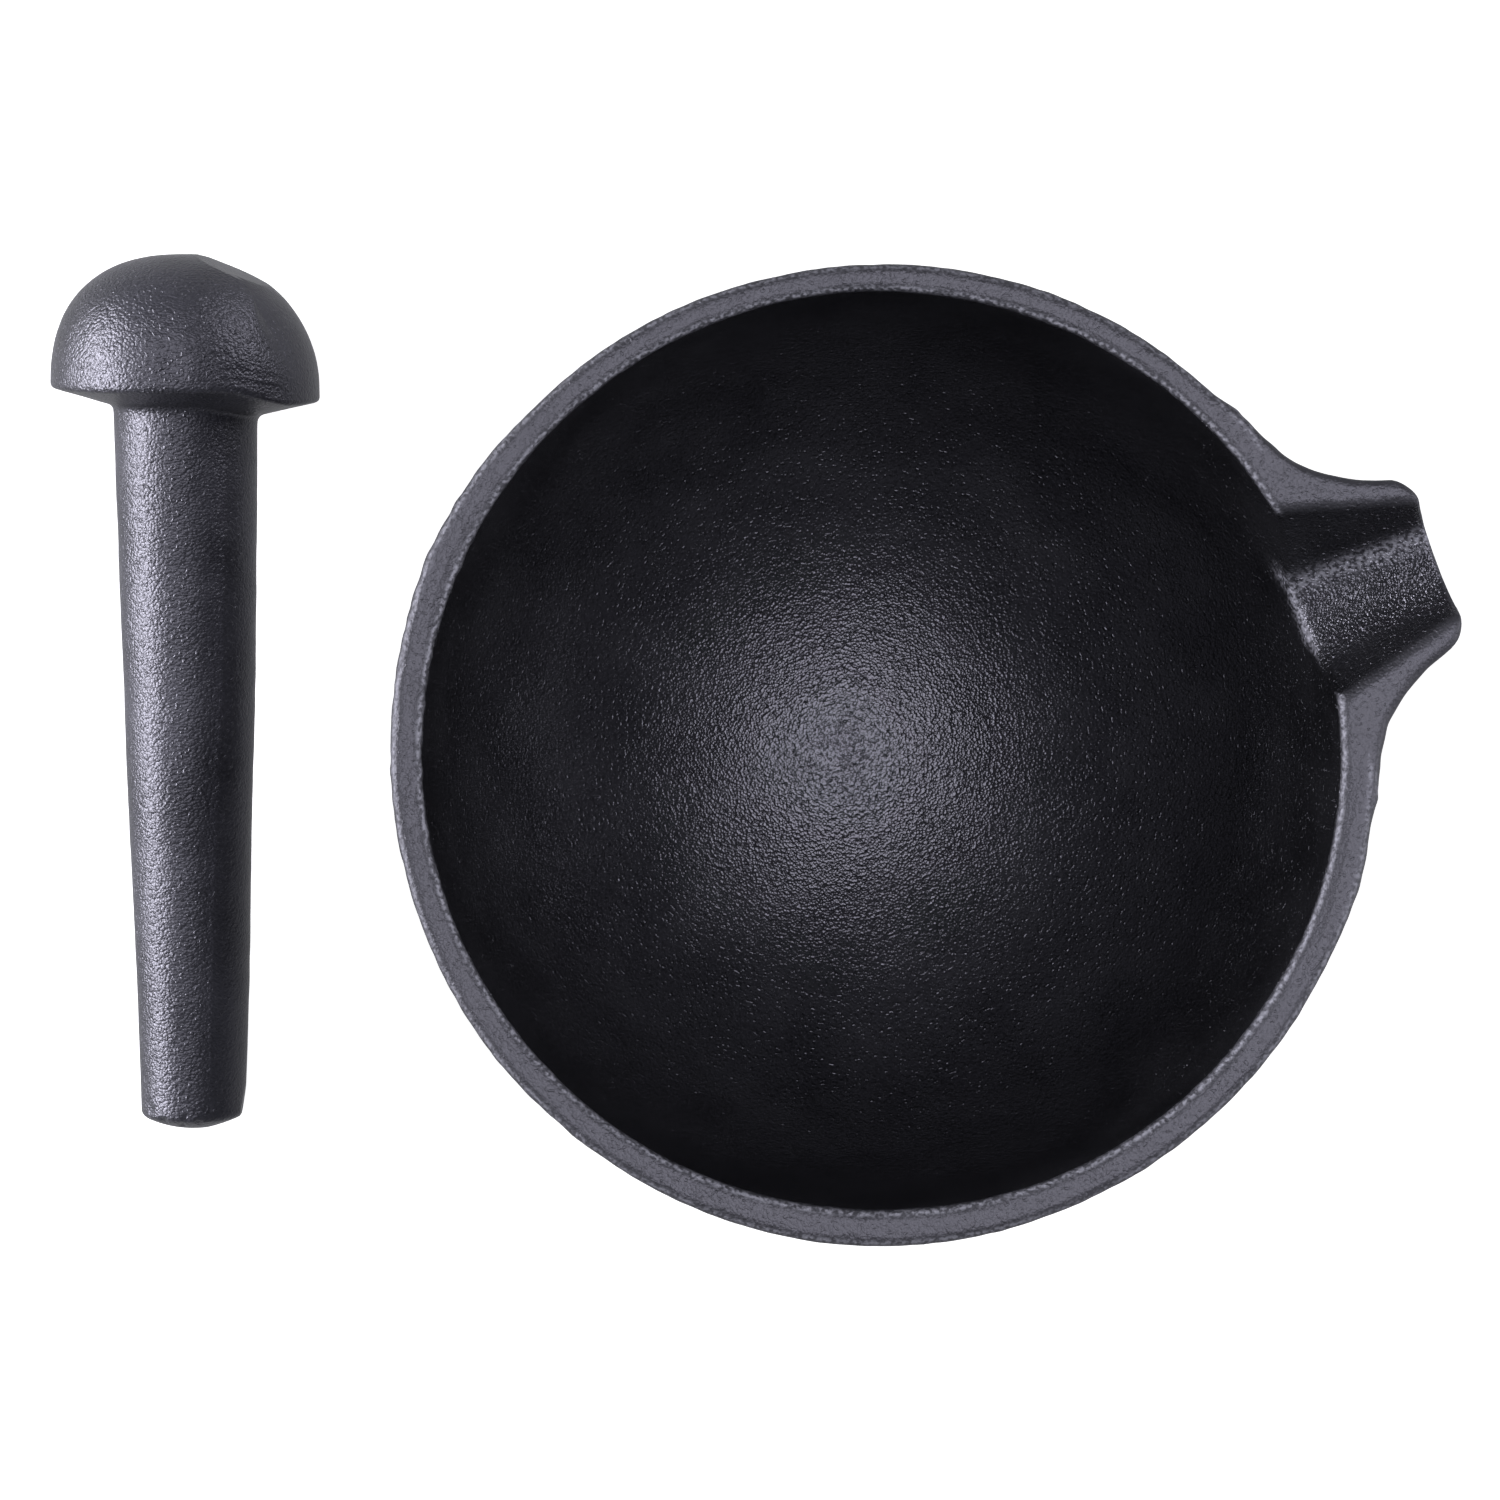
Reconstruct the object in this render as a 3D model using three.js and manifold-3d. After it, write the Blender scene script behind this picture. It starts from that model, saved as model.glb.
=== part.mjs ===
// A cast-iron mortar with a pouring spout, and its mushroom-headed pestle lying on the table beside it.
// Millimetres, +Z up. The origin is the centre of the mortar's flat base, on the table.
import * as THREE from "three";
import { mergeVertices } from "three/addons/utils/BufferGeometryUtils.js";
import Module from "manifold-3d";

const wasm = await Module();
wasm.setup();

// Mortar bowl: a hemispherical hollow in a slightly taller casting that thickens towards the bottom.
const RIM_RADIUS = 75;
const MORTAR_HEIGHT = 82;
const BOWL_RADIUS = 69.8;
const RIM_OUTER_ROUNDING = 1.8;
const RIM_INNER_ROUNDING = 1.2;
const STRAIGHT_WALL = 3;
const OUTER_DEPTH = 76.5;

// Foot: a short, slightly flared solid disc under the bowl.
const FOOT_RADIUS = 39.5;
const FOOT_WAIST_RADIUS = 38;
const FOOT_WAIST_HEIGHT = 7;
const FOOT_EDGE_ROUNDING = 1.5;
const FOOT_FILLET_RADIUS = 45;

// Spout: a lip that flares into the wall, cut by an open channel. It points a little above +X.
const SPOUT_ANGLE = THREE.MathUtils.degToRad(19.4);
const SPOUT_REACH = 90.5;
const SPOUT_FRONT_HALF_WIDTH = 12.9;
const SPOUT_SIDE_ANGLE = THREE.MathUtils.degToRad(18.6);
const SPOUT_ROOT_FILLET = 27;
const SPOUT_CORNER_ROUNDING = 3.5;

// Channel: a rounded trapezoid section, widest and deepest at the bowl.
const CHANNEL_FRONT_HALF_WIDTH = 9.2;
const CHANNEL_WIDENING = 0.29;
const CHANNEL_WALL_ANGLE = THREE.MathUtils.degToRad(60);
const CHANNEL_FRONT_DEPTH = 6.6;
const CHANNEL_FLOOR_SLOPE = 0.38;
const CHANNEL_FLOOR_ROUNDING = 0.3;
const CHANNEL_INNER_END = 56;

// Pestle: a tapered stem with a domed head, cone-shaped under the head.
const PESTLE_LENGTH = 144.3;
const HEAD_RADIUS = 22;
const HEAD_EDGE_ROUNDING = 0.8;
const HEAD_UNDERSIDE_DROP = 2.6;
const STEM_TOP_RADIUS = 11.9;
const STEM_NECK_FILLET = 1.2;
const STEM_TAIL_RADIUS = 8.5;
const TAIL_DOME_HEIGHT = 2.2;
const TAIL_EDGE_ROUNDING = 1;
const PESTLE_X = -112.15;
const PESTLE_TAIL_Y = -61.9;

// Facets.
const BOWL_SEGMENTS = 80;
const SPOUT_SEGMENTS = 56;
const PESTLE_SEGMENTS = 44;
const ARC_STEPS = 3;
const LONG_ARC_STEPS = 11;
const OVERSHOOT = 6;

const ironMaterial = new THREE.MeshStandardMaterial({
  color: 0x2a2a2f,
  roughness: 0.55,
  metalness: 0.35,
});

// A three.js geometry as a manifold-3d solid, for cutting and joining.
function toSolid(geometry) {
  const plain = geometry.clone();
  plain.deleteAttribute("normal");
  plain.deleteAttribute("uv");
  const merged = mergeVertices(plain, 1e-4);
  return new wasm.Manifold(
    new wasm.Mesh({
      numProp: 3,
      vertProperties: merged.attributes.position.array,
      triVerts: new Uint32Array(merged.index.array),
    }),
  );
}

// A manifold-3d solid back as a three.js geometry.
function toGeometry(solid) {
  const mesh = solid.getMesh();
  const geometry = new THREE.BufferGeometry();
  geometry.setAttribute("position", new THREE.BufferAttribute(mesh.vertProperties, 3));
  geometry.setIndex(new THREE.BufferAttribute(mesh.triVerts, 1));
  geometry.computeVertexNormals();
  return geometry;
}

// A quarter-round or longer arc as points, from one angle to another about (cx, cy).
function arcPoints(cx, cy, radiusX, radiusY, from, to, steps) {
  const clockwise = to < from;
  return new THREE.EllipseCurve(cx, cy, radiusX, radiusY, from, to, clockwise).getPoints(steps);
}

// A lathe profile in (radius, height) turned about +Z.
function turned(points, segments) {
  return new THREE.LatheGeometry(points, segments).rotateX(Math.PI / 2);
}

// The bowl and foot as one turned section: up the outside, over the rim and down the inside.
function bowlGeometry() {
  const outerCentre = MORTAR_HEIGHT - STRAIGHT_WALL;
  const filletCos = FOOT_FILLET_RADIUS / RIM_RADIUS;
  const filletSin = Math.sqrt(1 - filletCos ** 2);
  const filletHeight = outerCentre - OUTER_DEPTH * filletSin;
  const wallSlope = (OUTER_DEPTH * filletCos) / (RIM_RADIUS * filletSin);
  const footTop = filletHeight - (FOOT_FILLET_RADIUS - FOOT_WAIST_RADIUS) * wallSlope;

  const footEdge = arcPoints(
    FOOT_RADIUS - FOOT_EDGE_ROUNDING,
    FOOT_EDGE_ROUNDING,
    FOOT_EDGE_ROUNDING,
    FOOT_EDGE_ROUNDING,
    -Math.PI / 2,
    0,
    ARC_STEPS,
  );
  const footFillet = new THREE.QuadraticBezierCurve(
    new THREE.Vector2(FOOT_WAIST_RADIUS, FOOT_WAIST_HEIGHT),
    new THREE.Vector2(FOOT_WAIST_RADIUS, footTop),
    new THREE.Vector2(FOOT_FILLET_RADIUS, filletHeight),
  ).getPoints(ARC_STEPS + 1);
  const outerWall = arcPoints(
    0,
    outerCentre,
    RIM_RADIUS,
    OUTER_DEPTH,
    -Math.acos(filletCos),
    0,
    LONG_ARC_STEPS,
  );
  const rimOutside = arcPoints(
    RIM_RADIUS - RIM_OUTER_ROUNDING,
    MORTAR_HEIGHT - RIM_OUTER_ROUNDING,
    RIM_OUTER_ROUNDING,
    RIM_OUTER_ROUNDING,
    0,
    Math.PI / 2,
    ARC_STEPS,
  );
  const rimInside = arcPoints(
    BOWL_RADIUS + RIM_INNER_ROUNDING,
    MORTAR_HEIGHT - RIM_INNER_ROUNDING,
    RIM_INNER_ROUNDING,
    RIM_INNER_ROUNDING,
    Math.PI / 2,
    Math.PI,
    ARC_STEPS,
  );
  const wallTop = -Math.asin(RIM_INNER_ROUNDING / BOWL_RADIUS);
  const innerWall = arcPoints(
    0,
    MORTAR_HEIGHT,
    BOWL_RADIUS,
    BOWL_RADIUS,
    wallTop,
    -Math.PI / 2,
    LONG_ARC_STEPS + ARC_STEPS,
  );
  innerWall[innerWall.length - 1].x = 0;
  return turned(
    [
      new THREE.Vector2(0, 0),
      ...footEdge,
      ...footFillet,
      ...outerWall.slice(1),
      ...rimOutside,
      ...rimInside,
      ...innerWall.slice(1),
    ],
    BOWL_SEGMENTS,
  );
}

// The spout's body, turned about its own level axis at the rim. Its side is straight near the lip
// and sweeps out in a fillet that is tangent to the bowl's rim circle.
function spoutGeometry() {
  const back = new THREE.Vector2(-Math.cos(SPOUT_SIDE_ANGLE), Math.sin(SPOUT_SIDE_ANGLE));
  const outward = new THREE.Vector2(Math.sin(SPOUT_SIDE_ANGLE), Math.cos(SPOUT_SIDE_ANGLE));
  const corner = new THREE.Vector2(SPOUT_REACH, SPOUT_FRONT_HALF_WIDTH);
  const start = corner.clone().addScaledVector(outward, SPOUT_ROOT_FILLET);
  const along = back.dot(start);
  const reach = RIM_RADIUS + SPOUT_ROOT_FILLET;
  const sideLength = -along - Math.sqrt(along ** 2 - start.lengthSq() + reach ** 2);
  const filletCentre = start.clone().addScaledVector(back, sideLength);
  const rimTangent = filletCentre.clone().multiplyScalar(RIM_RADIUS / reach);

  const cornerSpan = SPOUT_CORNER_ROUNDING * Math.tan(Math.PI / 4 - SPOUT_SIDE_ANGLE / 2);
  const fillet = arcPoints(
    filletCentre.x,
    filletCentre.y,
    SPOUT_ROOT_FILLET,
    SPOUT_ROOT_FILLET,
    filletCentre.angle() + Math.PI,
    outward.angle() + Math.PI,
    LONG_ARC_STEPS - ARC_STEPS,
  );
  const cornerArc = arcPoints(
    SPOUT_REACH - SPOUT_CORNER_ROUNDING,
    SPOUT_FRONT_HALF_WIDTH - cornerSpan,
    SPOUT_CORNER_ROUNDING,
    SPOUT_CORNER_ROUNDING,
    outward.angle(),
    0,
    ARC_STEPS,
  );
  const innerEnd = rimTangent.x - RIM_INNER_ROUNDING - OVERSHOOT;
  const profile = [
    new THREE.Vector2(innerEnd, 0),
    new THREE.Vector2(innerEnd, rimTangent.y),
    ...fillet,
    ...cornerArc,
    new THREE.Vector2(SPOUT_REACH, 0),
  ].map((point) => new THREE.Vector2(point.y, point.x));
  return new THREE.LatheGeometry(profile, SPOUT_SEGMENTS)
    .rotateZ(-Math.PI / 2)
    .rotateZ(SPOUT_ANGLE)
    .translate(0, 0, MORTAR_HEIGHT);
}

// The channel's cutter: its section at the front, drawn out along the spout. It widens and deepens
// towards the bowl, and its walls keep their slope.
function channelGeometry() {
  const halfWidth = CHANNEL_FRONT_HALF_WIDTH;
  const depth = CHANNEL_FRONT_DEPTH;
  const floorHalf = halfWidth - depth / Math.tan(CHANNEL_WALL_ANGLE);
  const round = halfWidth * CHANNEL_FLOOR_ROUNDING;
  const wallX = round * Math.cos(CHANNEL_WALL_ANGLE);
  const wallY = round * Math.sin(CHANNEL_WALL_ANGLE);
  const section = new THREE.Shape();
  section.moveTo(halfWidth, OVERSHOOT);
  section.lineTo(-halfWidth, OVERSHOOT);
  section.lineTo(-halfWidth, 0);
  section.lineTo(-floorHalf - wallX, -depth + wallY);
  section.quadraticCurveTo(-floorHalf, -depth, -floorHalf + round, -depth);
  section.lineTo(floorHalf - round, -depth);
  section.quadraticCurveTo(floorHalf, -depth, floorHalf + wallX, -depth + wallY);
  section.lineTo(halfWidth, 0);
  const outerEnd = SPOUT_REACH + OVERSHOOT;
  const length = outerEnd - CHANNEL_INNER_END;
  const geometry = new THREE.ExtrudeGeometry(section, {
    depth: length,
    bevelEnabled: false,
    curveSegments: ARC_STEPS + 1,
  });
  const position = geometry.attributes.position;
  for (let i = 0; i < position.count; i += 1) {
    const behindFront = SPOUT_REACH - outerEnd + position.getZ(i);
    const deepening = 1 + (CHANNEL_FLOOR_SLOPE * behindFront) / depth;
    const fromEdge = halfWidth - Math.abs(position.getX(i));
    const topHalf = halfWidth + CHANNEL_WIDENING * behindFront;
    position.setX(i, Math.sign(position.getX(i)) * (topHalf - fromEdge * deepening));
    position.setY(i, position.getY(i) * deepening);
  }
  // The section's own Z runs from the open end back into the bowl, along the spout.
  const inward = new THREE.Vector3(-Math.cos(SPOUT_ANGLE), -Math.sin(SPOUT_ANGLE), 0);
  const up = new THREE.Vector3(0, 0, 1);
  const across = new THREE.Vector3().crossVectors(up, inward);
  const place = new THREE.Matrix4().makeBasis(across, up, inward);
  place.setPosition(inward.x * -outerEnd, inward.y * -outerEnd, MORTAR_HEIGHT);
  return geometry.applyMatrix4(place);
}

function mortarMesh() {
  const aboveRim = new THREE.BoxGeometry(4 * RIM_RADIUS, 4 * RIM_RADIUS, RIM_RADIUS);
  aboveRim.translate(0, 0, MORTAR_HEIGHT + RIM_RADIUS / 2);
  const insideWall = new THREE.SphereGeometry(BOWL_RADIUS + RIM_INNER_ROUNDING, BOWL_SEGMENTS, SPOUT_SEGMENTS);
  insideWall.translate(0, 0, MORTAR_HEIGHT);
  const spout = toSolid(spoutGeometry()).subtract(toSolid(aboveRim)).subtract(toSolid(insideWall));
  const solid = toSolid(bowlGeometry()).add(spout).subtract(toSolid(channelGeometry()));
  const mesh = new THREE.Mesh(toGeometry(solid), ironMaterial.clone());
  mesh.name = "mortar";
  return mesh;
}

// The pestle's profile from the tail's tip (height 0) to the top of the dome.
function pestleProfile() {
  const headBase = PESTLE_LENGTH - HEAD_RADIUS;
  const neck = headBase - HEAD_UNDERSIDE_DROP;
  const undersideAngle = Math.atan2(HEAD_UNDERSIDE_DROP, HEAD_RADIUS - STEM_TOP_RADIUS);
  const tailDome = new THREE.QuadraticBezierCurve(
    new THREE.Vector2(0, 0),
    new THREE.Vector2(STEM_TAIL_RADIUS / 2, 0),
    new THREE.Vector2(STEM_TAIL_RADIUS - TAIL_EDGE_ROUNDING, TAIL_DOME_HEIGHT - TAIL_EDGE_ROUNDING),
  ).getPoints(ARC_STEPS);
  const tailEdge = new THREE.QuadraticBezierCurve(
    tailDome[tailDome.length - 1],
    new THREE.Vector2(STEM_TAIL_RADIUS, TAIL_DOME_HEIGHT - TAIL_EDGE_ROUNDING / 2),
    new THREE.Vector2(STEM_TAIL_RADIUS, TAIL_DOME_HEIGHT + TAIL_EDGE_ROUNDING),
  ).getPoints(ARC_STEPS);
  const neckFillet = new THREE.QuadraticBezierCurve(
    new THREE.Vector2(STEM_TOP_RADIUS, neck - STEM_NECK_FILLET),
    new THREE.Vector2(STEM_TOP_RADIUS, neck),
    new THREE.Vector2(
      STEM_TOP_RADIUS + STEM_NECK_FILLET * Math.cos(undersideAngle),
      neck + STEM_NECK_FILLET * Math.sin(undersideAngle),
    ),
  ).getPoints(ARC_STEPS);
  const headEdge = new THREE.QuadraticBezierCurve(
    new THREE.Vector2(
      HEAD_RADIUS - HEAD_EDGE_ROUNDING * Math.cos(undersideAngle),
      headBase - HEAD_EDGE_ROUNDING * Math.sin(undersideAngle),
    ),
    new THREE.Vector2(HEAD_RADIUS, headBase),
    new THREE.Vector2(HEAD_RADIUS, headBase + HEAD_EDGE_ROUNDING),
  ).getPoints(ARC_STEPS);
  const domeStart = Math.asin(HEAD_EDGE_ROUNDING / HEAD_RADIUS);
  const dome = arcPoints(
    0,
    headBase,
    HEAD_RADIUS,
    HEAD_RADIUS,
    domeStart,
    Math.PI / 2,
    LONG_ARC_STEPS,
  );
  dome[dome.length - 1].x = 0;
  return [...tailDome, ...tailEdge.slice(1), ...neckFillet, ...headEdge, ...dome.slice(1)];
}

// The pestle rests on the edge of its head and the edge of its tail, so its axis leans down to the tail.
function pestleGroup() {
  const headBase = PESTLE_LENGTH - HEAD_RADIUS;
  const tailEdge = TAIL_DOME_HEIGHT + TAIL_EDGE_ROUNDING;
  const lean = Math.atan2(HEAD_RADIUS - STEM_TAIL_RADIUS, headBase - tailEdge);
  const mesh = new THREE.Mesh(
    new THREE.LatheGeometry(pestleProfile(), PESTLE_SEGMENTS),
    ironMaterial.clone(),
  );
  mesh.name = "pestle";
  const tailHeight = STEM_TAIL_RADIUS * Math.cos(lean) - tailEdge * Math.sin(lean);
  const group = new THREE.Group();
  group.position.set(PESTLE_X, PESTLE_TAIL_Y, tailHeight);
  group.rotation.x = lean;
  group.add(mesh);
  return group;
}

const mortarAndPestle = new THREE.Group();
mortarAndPestle.name = "mortar_and_pestle";
mortarAndPestle.add(mortarMesh(), pestleGroup());

export default mortarAndPestle;
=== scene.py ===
import math

import bpy
import numpy as np
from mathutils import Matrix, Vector


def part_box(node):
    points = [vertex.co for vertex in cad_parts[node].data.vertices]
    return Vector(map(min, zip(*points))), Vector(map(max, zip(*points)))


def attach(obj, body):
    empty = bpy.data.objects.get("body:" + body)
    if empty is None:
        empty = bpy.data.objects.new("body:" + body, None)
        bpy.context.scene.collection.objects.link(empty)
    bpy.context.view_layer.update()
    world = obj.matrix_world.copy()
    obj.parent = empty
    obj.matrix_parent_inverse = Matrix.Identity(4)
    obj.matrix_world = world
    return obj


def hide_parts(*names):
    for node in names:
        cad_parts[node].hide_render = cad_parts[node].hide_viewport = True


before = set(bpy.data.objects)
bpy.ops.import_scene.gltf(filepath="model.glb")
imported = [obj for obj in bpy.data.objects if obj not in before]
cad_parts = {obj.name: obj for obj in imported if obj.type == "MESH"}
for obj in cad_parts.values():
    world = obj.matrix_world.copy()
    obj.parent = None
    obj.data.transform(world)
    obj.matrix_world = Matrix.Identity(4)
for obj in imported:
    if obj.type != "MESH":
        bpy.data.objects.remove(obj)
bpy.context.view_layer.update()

MM = 0.001

# ---- driving dimensions, in millimetres -------------------------------------------------------------
mortar_low, mortar_high = (np.array(corner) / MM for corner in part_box("mortar"))
pestle_low, pestle_high = (np.array(corner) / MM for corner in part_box("pestle"))

RIM_RADIUS = -mortar_low[0]
MORTAR_HEIGHT = mortar_high[2]
BOWL_RADIUS = 69.8
BOWL_SHIFT = 0.35
RIM_OUTER_ROUNDING = 1.9
RIM_INNER_ROUNDING = 2.0
STRAIGHT_WALL = 3
OUTER_DEPTH = 76.5

FOOT_RADIUS = 39.5
FOOT_WAIST_RADIUS = 38
FOOT_WAIST_HEIGHT = 7
FOOT_EDGE_ROUNDING = 1.5
FOOT_FILLET_RADIUS = 45

SPOUT_ANGLE = math.radians(19.4)
SPOUT_REACH = 90.5
SPOUT_FRONT_HALF_WIDTH = 12.9
SPOUT_SIDE_ANGLE = math.radians(18.6)
SPOUT_ROOT_FILLET = 27
SPOUT_CORNER_ROUNDING = 3.5
SPOUT_WALL_FILLET = 3
SPOUT_INNER_END = 60

# The channel's upper wall is the one towards +Y; its floor leans across and slopes down to the bowl.
CHANNEL_FRONT_HALF_WIDTH = 9.2
CHANNEL_WIDENING = 0.29
CHANNEL_UPPER_WALL_ANGLE = math.radians(53)
CHANNEL_LOWER_WALL_ANGLE = math.radians(60)
CHANNEL_FRONT_DEPTH = 6.6
CHANNEL_FLOOR_SLOPE = 0.38
CHANNEL_FLOOR_ROUNDING = 0.28
CHANNEL_FLOOR_LEAN = 0.12
CHANNEL_EDGE_ROUNDING = 1.1
CHANNEL_INNER_END = 50
SPOUT_START = 70

HEAD_RADIUS = (pestle_high[0] - pestle_low[0]) / 2
PESTLE_X = (pestle_high[0] + pestle_low[0]) / 2
PESTLE_LENGTH = 144.3
PESTLE_TAIL_Y = -61.9
STEM_TAIL_RADIUS = 8.65
STEM_NECK_RADIUS = 11.8
STEM_TAPER = 0.0289
STEM_NECKING = 0.2
TAIL_EDGE_HEIGHT = 3.2
TAIL_REST_RADIUS = 8.5
TAIL_EDGE_ROUNDING = 0.9
TAIL_CROWN = 2.3
HEAD_EDGE_ROUNDING = 0.9

# Each mould half's head: where its rim and neck are along the pestle, and the shape of its dome.
FIRST_HALF = {
    "rim": 122.6,
    "neck": 119.6,
    "dome_base": 122.6,
    "dome_height": 21.7,
    "bulge": 2.4,
    "rounding": 1.0,
}
SECOND_HALF = {
    "rim": 120.0,
    "neck": 117.7,
    "dome_base": 122.3,
    "dome_height": 22.0,
    "bulge": 2.0,
    "rounding": 1.2,
}
PARTING_ANGLE = 24
PARTING_LEAN = 15
PARTING_RIDGE = 0.05
PARTING_RIDGE_SPREAD = math.radians(3)
PARTING_BLEND = 0.5
PARTING_BLEND_AT_LIP = 7
DOME_PARTING_SHIFT = 2.2

# Stretches along the pestle over which something comes in, or fades out where the second is less.
LEAN_STRETCH = (0, 115)
DOME_STRETCH = (122, 126)
LIP_STRETCHES = ((138, 122), (112, 117))
RIDGE_STRETCHES = ((3, 12), (119, 116))
HEAD_STRETCH = (118, 122)

# How far the cast skins are held inside their nominal surfaces, to leave room for their lumps.
MORTAR_SKIN_DRAW = 0.16
PESTLE_SKIN_DRAW = 0.12

# The lumps of each casting's skin as (height, wavelength, seed), and the rim's as (wavelength, seed).
MORTAR_LUMPS = ((0.12, 70, 11), (0.03, 19, 12), (0.012, 8, 13))
RIM_LUMPS = (3.4, 14)
PESTLE_LUMPS = ((0.08, 40, 21), (0.025, 13, 22), (0.012, 4.5, 23))

# Wear: how much of an edge has to be rounded away to show it, and how wide the band of it is.
EDGE_WEAR_DEPTHS = (0.04, 0.3)
EDGE_WEAR_BAND = 6
RIM_TOP_WEAR = 0.8

# Painted highlight lines along creases and edges as (distance from the edge, spread), and how strong they
# are on the rim's two edges.
FOOT_LINE = (0.6, 1.9)
FLOOR_LINE = (0, 1.6)
LIP_LINE = (0, 0.8)
RIM_LINE = (0.6, 0.4)
INNER_EDGE_HIGHLIGHT = 0.75
OUTER_EDGE_HIGHLIGHT = 0.5

# Where the rim swells out of round, in degrees round the bowl, as (middle, spread, height), and how rough
# it is, with more roughness on one side as (middle, spread).
RIM_SWELLINGS = ((153, 13, 0.75), (345, 10, 0.8))
ROUGH_SIDE = (170, 26)
RIM_ROUGHNESS = 0.03
ROUGH_SIDE_ROUGHNESS = 0.04

# Wrinkles above the head's lower rim as (distance along, depth).
FOLDS = ((125.0, 0.12), (126.5, 0.1), (123.4, 0.14))

# ---- looks ------------------------------------------------------------------------------------------
# Grain size and bump depth are in millimetres; lay stretches the grain along a diagonal.
MORTAR_LOOK = {
    "dark": (0.002, 0.002, 0.0023),
    "light": (0.007, 0.007, 0.008),
    "grain": 0.42,
    "depth": 0.13,
    "roughness": 0.19,
    # The second mask carries the painted highlight lines.
    "masks": ("worn", "highlight_paint"),
}
# Painted ambient light: the pestle's film colours are lighter than the mortar's, standing in for the soft
# ambient light over the pestle.
PESTLE_LOOK = {
    "dark": (0.009, 0.009, 0.011),
    "light": (0.023, 0.023, 0.028),
    "grain": 0.38,
    "depth": 0.12,
    "roughness": 0.32,
    "lay": 1.4,
    "masks": ("second_half",),
}
# Light grey painted along the channel's creases, the lip and the rim's edges as a highlight.
PAINTED_HIGHLIGHT_GREY = (0.16, 0.16, 0.185)
BLOTCH_SIZE = 14
PATCH_SIZE = 6
FLECK_SIZE = 0.7
GRIT_SIZE = 0.62
GRIT_DEPTH = 0.09
WORN_LIGHTENING = 2.2
WORN_ROUGHENING = 0.38
WORN_CALM = 0.5
SECOND_HALF_CALM = 0.62


# ---- shared mesh tools ------------------------------------------------------------------------------
def smoothstep(low, high, value):
    share = np.clip((value - low) / (high - low), 0, 1)
    return share * share * (3 - 2 * share)


def line_at(distance, place, spread):
    """One where the distance is that of a line's place, fading out over its spread."""
    return np.exp(-(((distance - place) / spread) ** 2))


def lumps(points, wavelength, seed, waves=32):
    """A smooth random field of about unit size, made of plane waves in random directions."""
    rng = np.random.default_rng(seed)
    directions = rng.normal(size=(waves, 3))
    directions /= np.linalg.norm(directions, axis=1, keepdims=True)
    lengths = wavelength * rng.uniform(0.7, 1.5, waves)
    phases = rng.uniform(0, 2 * math.pi, waves)
    total = np.zeros(points.shape[:-1])
    for direction, length, phase in zip(directions, lengths, phases):
        total += np.cos(points @ (direction * 2 * math.pi / length) + phase)
    return total * math.sqrt(2 / waves)


def swelling(points, layers):
    """The height of several layers of lumps."""
    return sum(height * lumps(points, wavelength, seed) for height, wavelength, seed in layers)


def graded(count, start, settle):
    """Shares from 0 to 1 whose first step is `start` times the later ones, settling over some steps."""
    steps = 1 - (1 - start) * np.exp(-np.arange(count) / settle)
    return np.concatenate([[0], np.cumsum(steps)]) / steps.sum()


def graded_both_ends(count, start, settle):
    """Shares from 0 to 1 with short steps at both ends."""
    from_end = np.minimum(np.arange(count), np.arange(count)[::-1])
    steps = 1 - (1 - start) * np.exp(-from_end / settle)
    return np.concatenate([[0], np.cumsum(steps)]) / steps.sum()


def crowded_angles(count, extra, spread):
    """Angles once round, closer together near zero: `extra` times denser within `spread`."""
    fine = np.linspace(-math.pi, math.pi, 7201)
    density = 1 + extra * np.exp(-((fine / spread) ** 4))
    total = np.concatenate([[0], np.cumsum((density[1:] + density[:-1]) / 2)])
    return np.interp(np.arange(count) / count, total / total[-1], fine)


def round_join(a, b, radius):
    """The union of two solids given by distance, with a fillet."""
    inside = np.hypot(np.maximum(radius - a, 0), np.maximum(radius - b, 0))
    return np.maximum(np.minimum(a, b), radius) - inside


def round_cut(a, b, radius):
    """The common part of two solids given by distance, with a rounded edge."""
    outside = np.hypot(np.maximum(a + radius, 0), np.maximum(b + radius, 0))
    return np.minimum(np.maximum(a, b), -radius) + outside


def settle_on(points, distance, rounds=7):
    """Moves points along the distance's slope until they lie on the surface."""
    step = 0.01
    for _ in range(rounds):
        here = distance(points)
        slope = np.stack([(distance(points + step * axis) - here) / step for axis in np.eye(3)], -1)
        size = np.maximum((slope**2).sum(-1), 0.25)
        points = points - (here / size)[..., None] * slope
    return points


def grid_normals(grid):
    """Outward normals of a grid of rows along a section and columns round it."""
    along = np.gradient(grid, axis=0)
    around = np.roll(grid, -1, axis=1) - np.roll(grid, 1, axis=1)
    normals = np.cross(around, along)
    return normals / np.maximum(np.linalg.norm(normals, axis=-1, keepdims=True), 1e-12)


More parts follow.
